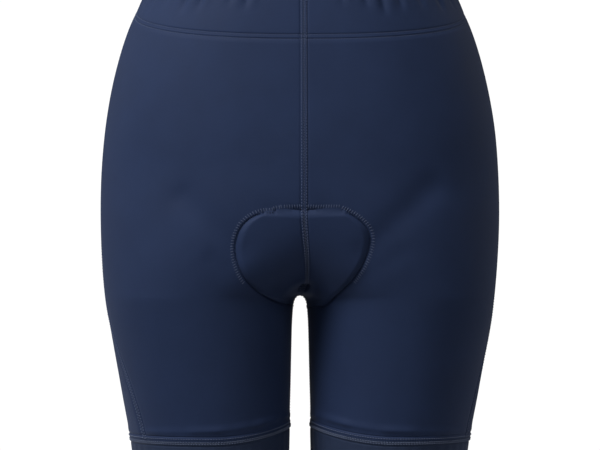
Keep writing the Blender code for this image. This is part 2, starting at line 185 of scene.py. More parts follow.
# Soft creases, as valleys between two points seen from the front or the back
CREASE_COLUMNS = ("face", "side", "start_out", "start_height", "end_out", "end_height", "spread", "depth")
CREASES = (
    ("front", "left", 0.052, -0.262, 0.112, -0.205, 0.013, 0.0022),
    ("front", "left", 0.040, -0.290, 0.085, -0.262, 0.010, 0.0010),
    ("front", "right", 0.056, -0.262, 0.104, -0.214, 0.013, 0.0016),
    ("front", "right", 0.042, -0.292, 0.080, -0.268, 0.010, 0.0009),
    ("back", "left", 0.040, -0.292, 0.120, -0.276, 0.012, 0.0020),
    ("back", "right", 0.042, -0.294, 0.126, -0.274, 0.012, 0.0018),
)
CREASE_ENDS = 0.35

SIDE_LEVEL_AT_CROTCH = -0.318
SIDES = {"right": -1, "left": 1}
FACES = {"front": 1, "back": -1}

# Fine meshes: steps beside a seam, then counts of rows and columns and where they crowd
EDGE_STEPS = (0, 0.0004, 0.0008, 0.0012, 0.0016, 0.0020, 0.0025, 0.0031, 0.0040)
CROWDED = {"front": (0.56, 0.28), "back": (0.50, 0.34)}
COLUMNS = {"front": 116, "back": 64}
CENTRE_ROWS = {"front": 220, "back": 120}
ROWS_CROWDED = {"front": (0.22, 0.52), "back": (0.35, 0.50)}
LEG_ROWS = {"front": 66, "back": 40}
HEM_EDGE_STEPS = tuple(0.0006 * step for step in range(1, 17))
DENSE = 500
JOIN_GAP = 0.0001

# Sewn seams, as distances from the seam line
FLATLOCK_HALF_WIDTH = 0.0023
FLATLOCK_RISE = 0.00035
NEEDLE_GROOVE_DEPTH = 0.00060
NEEDLE_GROOVE_WIDTH = 0.00065
JOIN_GROOVE_DEPTH = 0.00055
WAIST_ROW_ABOVE = 0.0013
WAIST_ROW_BELOW = 0.0025
HEM_BAND_ABOVE = 0.0028
HEM_BAND_BELOW = 0.0038
HEM_PUCKER_OUT = 0.0065
INNER_LEG_SEAM = 0.3
INNER_LEG_DRAW = 0.0008
ELASTIC_ROW = 0.034

# Pad outline as it shows through the cloth
EMBOSS_RISE = 0.0024
EMBOSS_RAMP = 0.0062
OUTLINE_GROOVE_DEPTH = 0.0014
OUTLINE_GROOVE_WIDTH = 0.0010
TICKS_END = -0.287
HOLLOW_PLACE = (-0.0004, -0.2932)
HOLLOW_HALF_SIZE = (0.0052, 0.0050)
HOLLOW_DEPTH = 0.0110

# The centre seam drifts toward the left thigh just above the crotch
DRIFT = 0.0038
DRIFT_START = -0.225
DRIFT_FULL = -0.286
DRIFT_END = -0.3010

# Threads
STITCH_PITCH = 0.0026
STITCH_LENGTH = 0.0015
THREAD_RADIUS = 0.00038
CROSSING_PITCH = 0.0030
CROSSING_RADIUS = 0.00018
WAIST_THREAD_RADIUS = 0.0003
TICK_RADIUS = 0.00026
GROOVE_THREAD_RADIUS = 0.00036
ELASTIC_ROW_GAP = 0.0042
HEM_STITCH = {"pitch": 0.0024, "length": 0.0017}
THREAD_SIDES = 5
PAD_STITCH_PITCH = 0.0022
PAD_TICK = (0.0010, 0.0046)
PAD_TICK_SLANT = 0.0005

STITCH_SHARES = (0, 0.22, 0.5, 0.78, 1)
STITCH_HEIGHTS = (-0.35, 0.35, 0.55, 0.35, -0.35)
STITCH_SWELLS = (0.55, 0.95, 1, 0.95, 0.55)

# Seat pad
PAD_ROWS = 180
PAD_COLUMNS_ACROSS = 75
PAD_CLEARANCE = 0.0003

# Colours
NAVY = (0.0180, 0.0315, 0.080, 1)
HEM_NAVY = (0.0225, 0.0345, 0.072, 1)
PAD_GREY = (0.045, 0.052, 0.070, 1)
THREAD_COLOUR = (0.100, 0.125, 0.205, 1)
# Thread for the dashes in the pad's groove: real stitches, with the groove's shade painted into their
# near-black colour
PAINTED_SHADE_THREAD_COLOUR = (0.008, 0.011, 0.026, 1)
HEM_THREAD_COLOUR = (0.110, 0.135, 0.210, 1)

# Studio
FLOOR_HEIGHT = -0.473
FLOOR_RADIUS = 0.49
WORLD_LIGHT = 0.15

# Camera
DISTANCE = 3.0
AZIMUTH = math.radians(-1.85)
METRES_PER_PIXEL = 0.000891
IMAGE_WIDTH = 600
SENSOR = 36
LOOKED_AT = (0, 0, -0.2383)


def column(table, names, name):
    """One named column of a table, as an array."""
    place = names.index(name)
    return np.array([row[place] for row in table], float)


def through(places, values, at):
    """Values on a smooth curve through a table's rows."""
    slopes = np.gradient(values, places)
    at = np.clip(at, places[0], places[-1])
    row = np.clip(np.searchsorted(places, at, side="right") - 1, 0, len(places) - 2)
    span = places[row + 1] - places[row]
    part = (at - places[row]) / span
    rest = 1 - part
    start = rest * rest * (values[row] * (1 + 2 * part) + slopes[row] * span * part)
    end = part * part * (values[row + 1] * (1 + 2 * rest) - slopes[row + 1] * span * rest)
    return start + end


def ease(share):
    """0 below 0, 1 above 1, and a smooth step between."""
    share = np.clip(share, 0, 1)
    return share * share * (3 - 2 * share)


def signed_power(value, power):
    return np.sign(value) * np.abs(value) ** power


SECTION_TABLE = {name: column(SECTIONS, SECTION_COLUMNS, name) for name in SECTION_COLUMNS}


def section(height):
    """Half width, front and back depth, squareness, and the parting of the two legs: 0 in one
    round body, 1 at the crotch, more where the legs stand apart."""
    heights = SECTION_TABLE["height"]
    width, front, back, squareness = (
        through(heights, SECTION_TABLE[name], height) for name in SECTION_COLUMNS[1:]
    )
    above = np.clip((PARTING_START - height) / (PARTING_START - CROTCH), 0, 1)
    below = np.maximum(CROTCH - height, 0)
    inner = LEG_GAP * (1 - np.exp(-below / LEG_GAP_CURVE)) + LEG_SPREAD * below
    reach = eased_in(width)
    parting = above**2 * (reach + inner) / (reach - inner)
    return width, front, back, squareness, parting


def eased_in(out):
    """Distance from the centre plane, with the fold there rounded to the crease radius."""
    return np.sqrt(out**2 + CREASE_RADIUS**2) - CREASE_RADIUS


def eased_out(inward):
    """The reverse of eased_in."""
    inward = np.maximum(inward, 0)
    return np.sqrt(inward**2 + 2 * CREASE_RADIUS * inward)


def on_form(turn, height, side):
    """Points of the outer form. The turn starts at the garment's side, grows toward the front and
    falls toward the back."""
    width, front, back, squareness, parting = section(height)
    half = eased_in(width) / (1 + parting)
    power = 2 / squareness
    inward = half * (parting + signed_power(np.cos(turn), power))
    depth = np.where(turn > 0, front, back)
    y = -depth * signed_power(np.sin(turn), power)
    return np.stack([side * eased_out(inward), y, height + 0 * y], axis=-1)


def misfit(points):
    """0 on the outer form, less inside it and more outside."""
    width, front, back, squareness, parting = section(points[..., 2])
    half = eased_in(width) / (1 + parting)
    across = np.abs(eased_in(points[..., 0]) / half - parting)
    depth = np.where(points[..., 1] < 0, front, back)
    along = np.abs(points[..., 1]) / depth
    return (across**squareness + along**squareness) ** (1 / squareness) - 1


def outward(points):
    """Unit directions out of the form."""
    step = 0.00002
    slopes = [misfit(points + step * axis) - misfit(points - step * axis) for axis in np.eye(3)]
    slopes = np.stack(slopes, axis=-1)
    return slopes / np.linalg.norm(slopes, axis=-1, keepdims=True)


def level_with(out, rise):
    """Outward directions turned into the plane of a level edge that climbs backward."""
    across = np.array([0, -rise, 1]) / math.hypot(rise, 1)
    flat = out - (out @ across)[..., None] * across
    return flat / np.linalg.norm(flat, axis=-1, keepdims=True)


def centre_turn(height):
    """Turn at which the form meets the centre plane, or the innermost line of a leg."""
    squareness, parting = section(height)[3:]
    return np.arccos(-np.minimum(parting, 1) ** (squareness / 2))


def edge_height(edge, turn, side):
    """Height of a level edge at these turns."""
    level, rise = edge
    height = level + 0 * turn
    for _ in range(12):
        height = level + rise * on_form(turn, height, side)[..., 1]
    return height


def hem_seam_height(turn):
    """The leg band's seam is pulled up toward the inner leg."""
    return HEM_SEAM + HEM_LIFT * ease(np.abs(turn) / (math.pi / 2) - 1)


def side_seam_turn(height, side_name):
    heights = column(SIDE_SEAMS, SIDE_SEAM_COLUMNS, "height")
    turns = column(SIDE_SEAMS, SIDE_SEAM_COLUMNS, side_name)
    return np.radians(through(heights, turns, height))


def lengths_along(points):
    return np.append(0, np.cumsum(np.linalg.norm(np.diff(points, axis=0), axis=1)))


def crotch_curve(face):
    """The centre seam of the front (1) or the back (-1), from above the waist seam to the crotch."""
    share = np.linspace(0, 1, 1200)
    height = CROTCH - CROTCH * (1 - share) ** 3
    return on_form(face * centre_turn(height), height, 1)


def pad_turn_and_reach(y, z):
    forward = PAD_AXIS[0] - y
    down = PAD_AXIS[1] - z
    return np.arctan2(down, forward), np.hypot(down, forward)


def crotch_reach_table():
    """The whole crotch curve as turn and distance round the pad's axis."""
    front = crotch_curve(FACES["front"])
    back = crotch_curve(FACES["back"])[::-1]
    curve = np.concatenate([front[:-1], back])
    turn, reach = pad_turn_and_reach(curve[:, 1], curve[:, 2])
    turn = np.where(turn < -math.pi / 2, turn + 2 * math.pi, turn)
    order = np.argsort(turn)
    return turn[order], reach[order]


CROTCH_TURNS, CROTCH_REACHES = crotch_reach_table()
PAD_TURNS = np.radians(column(PAD_OUTLINE, PAD_COLUMNS, "turn"))
PAD_WIDTHS = {side: column(PAD_OUTLINE, PAD_COLUMNS, side) for side in SIDES}


def pad_half_width(turn, x):
    widths = [through(PAD_TURNS, PAD_WIDTHS[side], turn) for side in ("right", "left")]
    return np.where(x < 0, *widths)


def pad_depth(points):
    """How far inside the pad's outline, or outside it when negative."""
    x = points[..., 0]
    turn, reach = pad_turn_and_reach(points[..., 1], points[..., 2])
    turn = np.where(turn < -math.pi / 2, turn + 2 * math.pi, turn)
    aside = np.hypot(x, reach - np.interp(turn, CROTCH_TURNS, CROTCH_REACHES))
    inside = pad_half_width(turn, x) - aside
    from_front = (turn - PAD_TURNS[0]) * reach
    from_back = (PAD_TURNS[-1] - turn) * reach
    return np.minimum(np.minimum(inside, from_front), from_back)


def crease_relief(points):
    """Soft valleys at the groin and under the seat."""
    total = np.zeros(points.shape[:-1])
    for row in CREASES:
        crease = dict(zip(CREASE_COLUMNS, row))
        start = np.array([crease["start_out"], crease["start_height"]])
        run = np.array([crease["end_out"], crease["end_height"]]) - start
        flat = np.stack([SIDES[crease["side"]] * points[..., 0], points[..., 2]], axis=-1) - start
        share = flat @ run / (run @ run)
        across = np.linalg.norm(flat - np.clip(share, 0, 1)[..., None] * run, axis=-1)
        ends = ease((share + CREASE_ENDS) / CREASE_ENDS) * ease((1 + CREASE_ENDS - share) / CREASE_ENDS)
        facing = ease(-FACES[crease["face"]] * points[..., 1] / crease["spread"])
        total -= crease["depth"] * ends * facing * np.exp(-((across / crease["spread"]) ** 2))
    return total


def band(distance, half_width, soft):
    """1 within half_width of a line and 0 beyond it, with soft shoulders."""
    return ease((half_width + soft - np.abs(distance)) / soft)


def groove(distance, width):
    return np.exp(-((distance / width) ** 2))


def unevenness(points):
    """Low soft swells, as in any cloth held by air."""
    x, y, z = points[..., 0], points[..., 1], points[..., 2]
    slow = np.sin(23 * x + 11 * z + 0.7) * np.sin(17 * z - 9 * y + 1.9)
    quick = np.sin(61 * x - 37 * z + 2.1) * np.sin(43 * z + 29 * y + 0.4)
    return 0.00030 * slow + 0.00010 * quick


def pad_emboss(points):
    """The pad's raised shape, and the sewn groove round it."""
    depth = pad_depth(points)
    away = (1 - near_crotch(points)) * ease((np.abs(points[..., 0]) - 0.004) / 0.010 + above_crotch(points))
    raised = EMBOSS_RISE * ease(depth / EMBOSS_RAMP)
    return away * (raised - OUTLINE_GROOVE_DEPTH * groove(depth, OUTLINE_GROOVE_WIDTH))


def near_crotch(points):
    """1 at the crotch point, where the pad is thin and the seams meet, and 0 from 25 mm away."""
    across = np.abs(points[..., 0]) / 0.020
    up = (points[..., 2] - CROTCH) / 0.018
    return 1 - ease((np.hypot(across, np.maximum(up, 0.4 * -up)) - 0.45) / 0.55)


def above_crotch(points):
    """1 from 12 mm above the crotch point, and 0 at it and below."""
    return ease((points[..., 2] - CROTCH) / 0.012)


def crotch_hollow(points):
    """The deep little fold in front of the crotch point, where the centre seam turns under."""
    across = np.abs(points[..., 0] - HOLLOW_PLACE[0]) / HOLLOW_HALF_SIZE[0]
    up = np.abs(points[..., 2] - HOLLOW_PLACE[1]) / HOLLOW_HALF_SIZE[1]
    in_front = ease(-points[..., 1] / 0.01)
    return -HOLLOW_DEPTH * in_front * ease(1 - across) * ease(1 - up)


def seam_drift(points):
    """How far the front centre seam, and the cloth beside it, lie toward the left thigh."""
    height = points[..., 2]
    grown = ease((DRIFT_START - height) / (DRIFT_START - DRIFT_FULL))
    along = grown * ease((height - DRIFT_END) / (DRIFT_FULL - DRIFT_END))
    beside = np.exp(-((points[..., 0] / 0.028) ** 2))
    return DRIFT * along * beside * ease(-points[..., 1] / 0.02)


def flatlock(distance):
    """A flat seam: a low raised band with a groove down its middle and one at each edge."""
    raised = FLATLOCK_RISE * band(distance, FLATLOCK_HALF_WIDTH, 0.0007)
    edges = NEEDLE_GROOVE_DEPTH * groove(np.abs(distance) - FLATLOCK_HALF_WIDTH - 0.0005, NEEDLE_GROOVE_WIDTH)
    return raised - JOIN_GROOVE_DEPTH * groove(distance, 0.0004) - edges


def hem_flatlock(distance):
    """The leg band's seam: distance is measured up from the seam line."""
    middle = (HEM_BAND_ABOVE - HEM_BAND_BELOW) / 2
    half = (HEM_BAND_ABOVE + HEM_BAND_BELOW) / 2
    raised = 0.00035 * band(distance - middle, half, 0.0008)
    edges = groove(np.abs(distance - middle) - half - 0.0007, 0.0007)
    return raised - 0.00045 * edges


def waist_rows(distance):
    """The waist seam's two needle rows: distance is measured up from the seam line."""
    upper = groove(distance - WAIST_ROW_ABOVE, NEEDLE_GROOVE_WIDTH)
    lower = groove(distance + WAIST_ROW_BELOW, NEEDLE_GROOVE_WIDTH)
    return -NEEDLE_GROOVE_DEPTH * (upper + lower) - 0.0002 * groove(distance, 0.0004)


def hem_pucker(turn, distance):
    """Soft ridges that the leg band's elastic draws up, stronger toward the inner leg."""
    inner = ease(np.abs(turn) / 2.4) * ease((math.pi - np.abs(turn)) / 0.5)
    ridge = groove(distance - HEM_PUCKER_OUT - 0.004 * inner, 0.0030)
    waves = 1 + 0.35 * np.sin(9 * turn) + 0.2 * np.sin(23 * turn + 1)
    return (0.0003 + 0.0010 * inner) * ridge * waves


def arc_along(points, axis):
    """Lengths along the grid in one direction, from its first row or column."""
    steps = np.linalg.norm(np.diff(points, axis=axis), axis=-1)
    lengths = np.cumsum(steps, axis=axis)
    pad_shape = [(0, 0), (0, 0)]
    pad_shape[axis] = (1, 0)
    return np.pad(lengths, pad_shape)


def panel_rows(face_name, side_name):
    """Heights of a panel's rows at the centre seam and inner leg, and at the side seam."""
    curve = crotch_curve(FACES[face_name])
    curve = curve[curve[:, 2] <= WAIST_SEAM[0] + WAIST_SEAM[1] * curve[:, 1]]
    lengths = lengths_along(curve)
    crowd_at, crowd_to = ROWS_CROWDED[face_name]
    even = np.linspace(0, 1, CENTRE_ROWS[face_name])[1:]
    below_edge = np.interp(even, (0, crowd_at, 1), (0, crowd_to, 1))
    start = EDGE_STEPS[-1]
    wanted = np.append(EDGE_STEPS, start + (lengths[-1] - start) * below_edge)
    centre = np.interp(wanted, lengths, curve[:, 2])
    hem = hem_seam_height(math.pi)
    edge = np.array(HEM_EDGE_STEPS[::-1])
    leg_share = np.linspace(0, 1, LEG_ROWS[face_name] + 1)[1:] ** 1.25
    leg = CROTCH + (hem + edge[0] - CROTCH) * leg_share
    leg = np.concatenate([leg, hem + edge[1:], [hem]])
    share_of_centre = wanted / wanted[-1]
    top_turn = side_seam_turn(np.array(WAIST_SEAM[0]), side_name)
    top = edge_height(WAIST_SEAM, top_turn, SIDES[side_name])
    bottom = hem_seam_height(side_seam_turn(np.array(HEM_SEAM), side_name))
    upper = top + (SIDE_LEVEL_AT_CROTCH - top) * share_of_centre
    lower = SIDE_LEVEL_AT_CROTCH + (bottom - SIDE_LEVEL_AT_CROTCH) * (CROTCH - leg) / (CROTCH - hem)
    return np.append(centre, leg), np.append(upper, lower), len(centre) - 1


def panel_places(face_name, side_name, share, inner_height, side_height):
    """Turn and height at these shares of each row."""
    side = SIDES[side_name]
    inner_turn = FACES[face_name] * centre_turn(inner_height)
    side_turn = side_seam_turn(side_height, side_name)
    turn = inner_turn[:, None] * (1 - share) + side_turn[:, None] * share
    height = inner_height[:, None] * (1 - share) + side_height[:, None] * share
    down = ((inner_height[0] - inner_height) / (inner_height[0] - inner_height[-1]))[:, None]
    top_error = edge_height(WAIST_SEAM, turn[0], side) - height[0]
    bottom_error = hem_seam_height(turn[-1]) - height[-1]
    return turn, height + top_error * (1 - down) ** 2 + bottom_error * down**3


def panel_grid(face_name, side_name):
    """Base points of a leg panel, with its turns and the number of the crotch row."""
    inner_height, side_height, crotch_row = panel_rows(face_name, side_name)
    dense = np.linspace(0, 1, DENSE)[None, :] + 0 * inner_height[:, None]
    turn, height = panel_places(face_name, side_name, dense, inner_height, side_height)
    along = arc_along(on_form(turn, height, SIDES[side_name]), 1)
    crowd_at, crowd_to = CROWDED[face_name]
    even = np.linspace(0, 1, COLUMNS[face_name])[1:-1]
    between = np.interp(even, (0, crowd_at, 1), (0, crowd_to, 1))
    edge = np.array(EDGE_STEPS)
    share = []
    for lengths, places in zip(along, dense):
        whole = lengths[-1]
        middle = edge[-1] + (whole - 2 * edge[-1]) * between
        wanted = np.concatenate([edge, middle, whole - edge[::-1]])
        share.append(np.interp(wanted, lengths, places))
    share = np.array(share)
    turn = np.array([np.interp(row, places, values) for row, places, values in zip(share, dense, turn)])
    height = np.array([np.interp(row, places, values) for row, places, values in zip(share, dense, height)])
    return on_form(turn, height, SIDES[side_name]), turn, crotch_row


def drawn_back(points, face_name, side_name, crotch_row):
    """A panel's points with each edge a hair short of the seam."""
    gap = JOIN_GAP / 2
    points = points.copy()
    points[: crotch_row + 1, 0, 0] += SIDES[side_name] * gap
    points[crotch_row:, 0, 1] -= FACES[face_name] * gap
    inwards = points[:, -2] - points[:, -1]
    points[:, -1] += gap * inwards / np.linalg.norm(inwards, axis=1, keepdims=True)
    points[0, :, 2] -= gap
    points[-1, :, 2] += gap
    return points


def leg_panel(face_name, side_name):
    """A leg panel as a thin shell, and its outer points and directions for the stitches."""
    points, turn, crotch_row = panel_grid(face_name, side_name)
    points = drawn_back(points, face_name, side_name, crotch_row)
    across = arc_along(points, 1)
    down = arc_along(points, 0)
    up = down[-1:] - down
    from_side = across[:, -1:] - across
    relief = pad_emboss(points) + crease_relief(points) + unevenness(points) + crotch_hollow(points)
    inner_leg = (np.arange(len(points)) > crotch_row)[:, None]
    centre_seam = np.where(inner_leg, INNER_LEG_SEAM, 1 - 0.8 * near_crotch(points))
    relief = relief + flatlock(across) * centre_seam + flatlock(from_side)
    relief = relief + waist_rows(-down) + hem_flatlock(up) + hem_pucker(turn, up)
    under_crotch = ease((CROTCH - points[..., 2]) / 0.03)
    relief = relief - INNER_LEG_DRAW * inner_leg * groove(across, 0.012) * under_crotch
    out = outward(points)
    out[0] = level_with(out[0], WAIST_SEAM[1])
    out[-1] = level_with(out[-1], 0)
    outer = points + relief[..., None] * out
    outer[..., 0] += seam_drift(points)
    name = "panel_" + face_name + "_" + side_name
    piece = shell(name, outer, outer - PANEL_WALL * out, knit_uv(across, down), KNIT)
    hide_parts(face_name + "_" + side_name)
    dress(piece)
    panel = {"piece": piece, "outer": outer, "out": out, "across": across, "down": down, "base": points}
    panel["crotch_row"] = crotch_row
    return panel


def knit_uv(across, down):
    """The cloth's own length and width at each point, for the knit."""
    return np.stack([across, down], axis=-1)


def gather_relief(turn, points, side_name):
    """Valleys that the elastic draws in the waistband, fading below it, and ridges between."""
    total = np.zeros(turn.shape)
    for row in GATHERS[side_name]:
        gather = dict(zip(GATHER_COLUMNS, row))
        centre = on_form(np.radians(gather["turn"]), points[..., 2], SIDES[side_name])
        across = np.linalg.norm(points - centre, axis=-1)
        fade = ease((points[..., 2] - gather["foot"] - GATHER_DROP) / GATHER_FADE)
        valley = groove(across, 0.8 * gather["half_width"])
        ridge = groove(across - 2.0 * gather["half_width"], gather["half_width"])
        total += GATHER_FULLNESS * gather["depth"] * fade * (0.4 * ridge - valley)
    return total


def waistband(side_name):
    side = SIDES[side_name]
    dense = np.linspace(math.pi / 2, -math.pi / 2, DENSE)
    along = arc_along(on_form(dense, 0 * dense - 0.03, side)[None], 1)[0]
    edge = np.array(EDGE_STEPS)
    middle = np.linspace(edge[-1], along[-1] - edge[-1], 250)[1:-1]
    turn = np.interp(np.concatenate([edge, middle, along[-1] - edge[::-1]]), along, dense)
    top = edge_height(TOP_EDGE, turn, side)
    bottom = edge_height(WAIST_SEAM, turn, side) + JOIN_GAP / 2
    steps = np.append(0, np.cumsum([0.0008] * 3 + [0.0024] * 24 + [0.0006] * 14))
    down = (steps / steps[-1])[:, None]
    height = top * (1 - down) + bottom * down
    turn = turn + 0 * height
    points = on_form(turn, height, side)
    points[:, [0, -1], 0] = side * JOIN_GAP / 2
    across = arc_along(points, 1)
    below_top = arc_along(points, 0)
    up = below_top[-1:] - below_top
    from_end = across[:, -1:] - across
    relief = gather_relief(turn, points, side_name) + unevenness(points)
    relief = relief + flatlock(across) + flatlock(from_end) + waist_rows(up)
    upper = groove(below_top - ELASTIC_ROW, NEEDLE_GROOVE_WIDTH)
    lower = groove(below_top - ELASTIC_ROW - ELASTIC_ROW_GAP, NEEDLE_GROOVE_WIDTH)
    relief = relief - NEEDLE_GROOVE_DEPTH * (upper + lower) - 0.0006 * groove(below_top, 0.0009)
    out = outward(points)
    out[-1] = level_with(out[-1], WAIST_SEAM[1])
    outer = points + relief[..., None] * out
    inner = outer - WAISTBAND_WALL * out
    piece = shell("band_" + side_name, outer, inner, knit_uv(across, below_top), BAND_KNIT)
    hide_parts("waistband_" + side_name)
    dress(piece)
    return {"piece": piece, "outer": outer, "out": out, "across": across, "down": below_top, "base": points}


def gripper(side_name):
    """A leg band, as a ring from the hem seam down to the open edge."""
    side = SIDES[side_name]
    turn = np.linspace(math.pi, -math.pi, 281)[:-1]
    steps = np.append(0, np.cumsum([0.0006] * 16 + [0.0024] * 12 + [0.0008] * 8))
    down = (steps / steps[-1])[:, None]
    top = hem_seam_height(turn) - JOIN_GAP / 2
    height = top - (HEM_HEIGHT - JOIN_GAP / 2) * down
    turn = turn + 0 * height
    points = on_form(turn, height, side)
    below = arc_along(points, 0)
    up = below[-1:] - below
    across = arc_along(points, 1)
    relief = hem_flatlock(-below) + unevenness(points)
    puckers = 0.0002 * np.sin(40 * turn) * ease(below / 0.01) * ease(up / 0.01)
    relief = relief - 0.0005 * groove(up, 0.0008) + puckers
    out = level_with(outward(points), 0)
    outer = points + relief[..., None] * out
    inner = outer - HEM_WALL * out
    piece = shell("gripper_" + side_name, outer, inner, knit_uv(across, below), HEM_KNIT, ring=True)
    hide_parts("hem_" + side_name)
    dress(piece)
    return {"piece": piece, "outer": outer, "out": out, "across": across, "down": below, "base": points}


def shell(name, outer, inner, uv, material, ring=False):
    """A closed thin shell between two grids of points. A ring's columns meet."""
    rows, columns = outer.shape[:2]
    count = rows * columns
    grid = np.arange(count).reshape(rows, columns)
    if ring:
        grid = np.hstack([grid, grid[:, :1]])
    quads = np.stack([grid[:-1, :-1], grid[:-1, 1:], grid[1:, 1:], grid[1:, :-1]], axis=-1).reshape(-1, 4)
    borders = [grid[0], grid[-1, ::-1]]
    if not ring:
        borders += [grid[:, -1], grid[::-1, 0]]
    rims = [np.stack([line[1:], line[:-1], line[:-1] + count, line[1:] + count], axis=-1) for line in borders]
    faces = np.concatenate([quads, quads[:, ::-1] + count, *rims])
    points = np.concatenate([outer.reshape(-1, 3), inner.reshape(-1, 3)])
    return mesh_piece(name, points, faces, material, np.concatenate([uv.reshape(-1, 2)] * 2))


def mesh_piece(name, points, faces, material, uv=None):
    mesh = bpy.data.meshes.new(name)
    mesh.from_pydata(points.tolist(), [], faces.tolist() if hasattr(faces, "tolist") else faces)
    shape = bmesh.new()
    shape.from_mesh(mesh)
    bmesh.ops.recalc_face_normals(shape, faces=shape.faces)
    shape.to_mesh(mesh)
    shape.free()
    if uv is not None:
        corners = np.empty(len(mesh.loops), np.int32)
        mesh.loops.foreach_get("vertex_index", corners)
        mesh.uv_layers.new(name="Knit").data.foreach_set("uv", uv[corners].astype(np.float32).ravel())
    mesh.shade_smooth()
    mesh.set_sharp_from_angle(angle=math.radians(55))
    mesh.materials.append(material)
    made = bpy.data.objects.new(name, mesh)
    bpy.context.scene.collection.objects.link(made)
    return made


def dress(piece):
    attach(piece, "root")



def pad_places():
    """Points of the form over the pad, as rows round the pad's axis and columns from right to left."""
    turn = np.linspace(PAD_TURNS[0], PAD_TURNS[-1], PAD_ROWS)[:, None]
    share = np.linspace(-1, 1, PAD_COLUMNS_ACROSS)[None, :]
    side = np.where(share < 0, -1.0, 1.0)
    aside = np.abs(share) * pad_half_width(turn, side)
    turn = turn + 0 * aside
    reach = np.interp(turn, CROTCH_TURNS, CROTCH_REACHES)

    def place(lean):
        far = reach + aside * np.sin(lean)
        x = side * aside * np.cos(lean)
        return np.stack([x, PAD_AXIS[0] - far * np.cos(turn), PAD_AXIS[1] - far * np.sin(turn)], axis=-1)

    low = np.full(aside.shape, math.radians(-60))
    high = np.full(aside.shape, math.radians(89))
    for _ in range(36):
        middle = (low + high) / 2
        inside = misfit(place(middle)) < 0
        low = np.where(inside, middle, low)
        high = np.where(inside, high, middle)
    return place(low), share + 0 * aside


def pad_channels(points, depth):
    """The pressed lines in the pad's cover: one round inside the edge, and one along each side."""
    ring = groove(depth - 0.013, 0.0016)
    y, z = points[..., 1], points[..., 2]
    turn = pad_turn_and_reach(y, z)[0]
    turn = np.where(turn < -math.pi / 2, turn + 2 * math.pi, turn)
    long = band(turn - math.radians(92), math.radians(70), math.radians(12))
    middle = groove(points[..., 0], 0.0040)
    return 0.0011 * ring + 0.0016 * middle * long


def seat_pad():
    """The seat pad under the panels: thin at its edge and full in the middle."""
    points, share = pad_places()
    out = outward(points)
    depth = np.maximum(pad_depth(points), 0)
    relief = pad_emboss(points) + crease_relief(points) + unevenness(points) + crotch_hollow(points)
    outer = points + (relief - PANEL_WALL - PAD_CLEARANCE)[..., None] * out
    fullness = ease(depth / PAD_EDGE_SLOPE)
    thickness = PAD_EDGE_THICKNESS + (PAD_THICKNESS - PAD_EDGE_THICKNESS) * fullness
    thickness = thickness - pad_channels(points, depth)
    inner = outer - thickness[..., None] * out
    uv = np.stack([arc_along(points, 1), arc_along(points, 0)], axis=-1)
    drift = seam_drift(points)
    outer[..., 0] += drift
    inner[..., 0] += drift
    piece = shell("seat_pad", outer, inner, uv, PAD_FLEECE)
    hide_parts("pad")
    dress(piece)
    return piece


def at_distance(panel, distance, from_end=False):
    """The outer line of a panel at a distance from its first column, or its last, with the ways out."""
    across = panel["across"]
    wanted = across[:, -1] - distance if from_end else distance + 0 * across[:, 0]
    return read_rows(across, wanted, panel["outer"]), read_rows(across, wanted, panel["out"])


def below_edge(panel, distance, from_end=False):
    """The outer line of a panel at a distance below its top row, or above its last one."""
    down = panel["down"].T
    wanted = down[:, -1] - distance if from_end else distance + 0 * down[:, 0]
    outer = panel["outer"].transpose(1, 0, 2)
    out = panel["out"].transpose(1, 0, 2)
    return read_rows(down, wanted, outer), read_rows(down, wanted, out)


def read_rows(lengths, wanted, values):
    """Values at one length along each row."""
    found = []
    for row, at, value in zip(lengths, wanted, values):
        found.append([np.interp(at, row, value[:, axis]) for axis in range(3)])
    return np.array(found)


def spaced(line, out, pitch, start=0.5):
    """Places every pitch along a line, with the directions along it and out of it."""
    lengths = lengths_along(line)
    at = np.arange(pitch * start, lengths[-1], pitch)
    place = np.stack([np.interp(at, lengths, line[:, axis]) for axis in range(3)], axis=-1)
    way = np.stack([np.interp(at, lengths, out[:, axis]) for axis in range(3)], axis=-1)
    ahead = np.stack([np.interp(at + 0.0004, lengths, line[:, axis]) for axis in range(3)], axis=-1)
    behind = np.stack([np.interp(at - 0.0004, lengths, line[:, axis]) for axis in range(3)], axis=-1)
    return place, unit(ahead - behind), unit(way)


def unit(vectors):
    return vectors / np.maximum(np.linalg.norm(vectors, axis=-1, keepdims=True), 1e-9)


def stitches(starts, ends, out, radius=THREAD_RADIUS, sink=0.00012):
    """Short threads from each start to each end, rising out of the cloth and back into it."""
    along = unit(ends - starts)
    beside = unit(np.cross(out, along))
    rise = unit(np.cross(along, beside))
    shares = np.array(STITCH_SHARES)
    heights = np.array(STITCH_HEIGHTS)
    swells = np.array(STITCH_SWELLS)
    turns = np.linspace(0, 2 * math.pi, THREAD_SIDES, endpoint=False)
    centre = starts[:, None] + shares[None, :, None] * (ends - starts)[:, None]
    centre = centre + (heights * radius * 2 - sink)[None, :, None] * rise[:, None]
    ring = np.cos(turns)[:, None, None] * beside[None] + np.sin(turns)[:, None, None] * rise[None]
    ring = ring.transpose(1, 0, 2)
    points = centre[:, :, None] + (radius * swells)[None, :, None, None] * ring[:, None]
    count, rings = points.shape[:2]
    index = np.arange(rings * THREAD_SIDES).reshape(rings, THREAD_SIDES)
    index = np.hstack([index, index[:, :1]])
    quads = np.stack([index[:-1, :-1], index[:-1, 1:], index[1:, 1:], index[1:, :-1]], axis=-1).reshape(-1, 4)
    size = rings * THREAD_SIDES
    faces = (quads[None] + size * np.arange(count)[:, None, None]).reshape(-1, 4).tolist()
    first = index[0, :-1][::-1]
    last = index[-1, :-1]
    for stitch in range(count):
        faces.append((first + stitch * size).tolist())
        faces.append((last + stitch * size).tolist())
    return points.reshape(-1, 3), faces


def row_of_stitches(line, out, pitch=STITCH_PITCH, length=STITCH_LENGTH, **shape):
    place, along, way = spaced(line, out, pitch)
    return stitches(place - along * length / 2, place + along * length / 2, way, **shape)


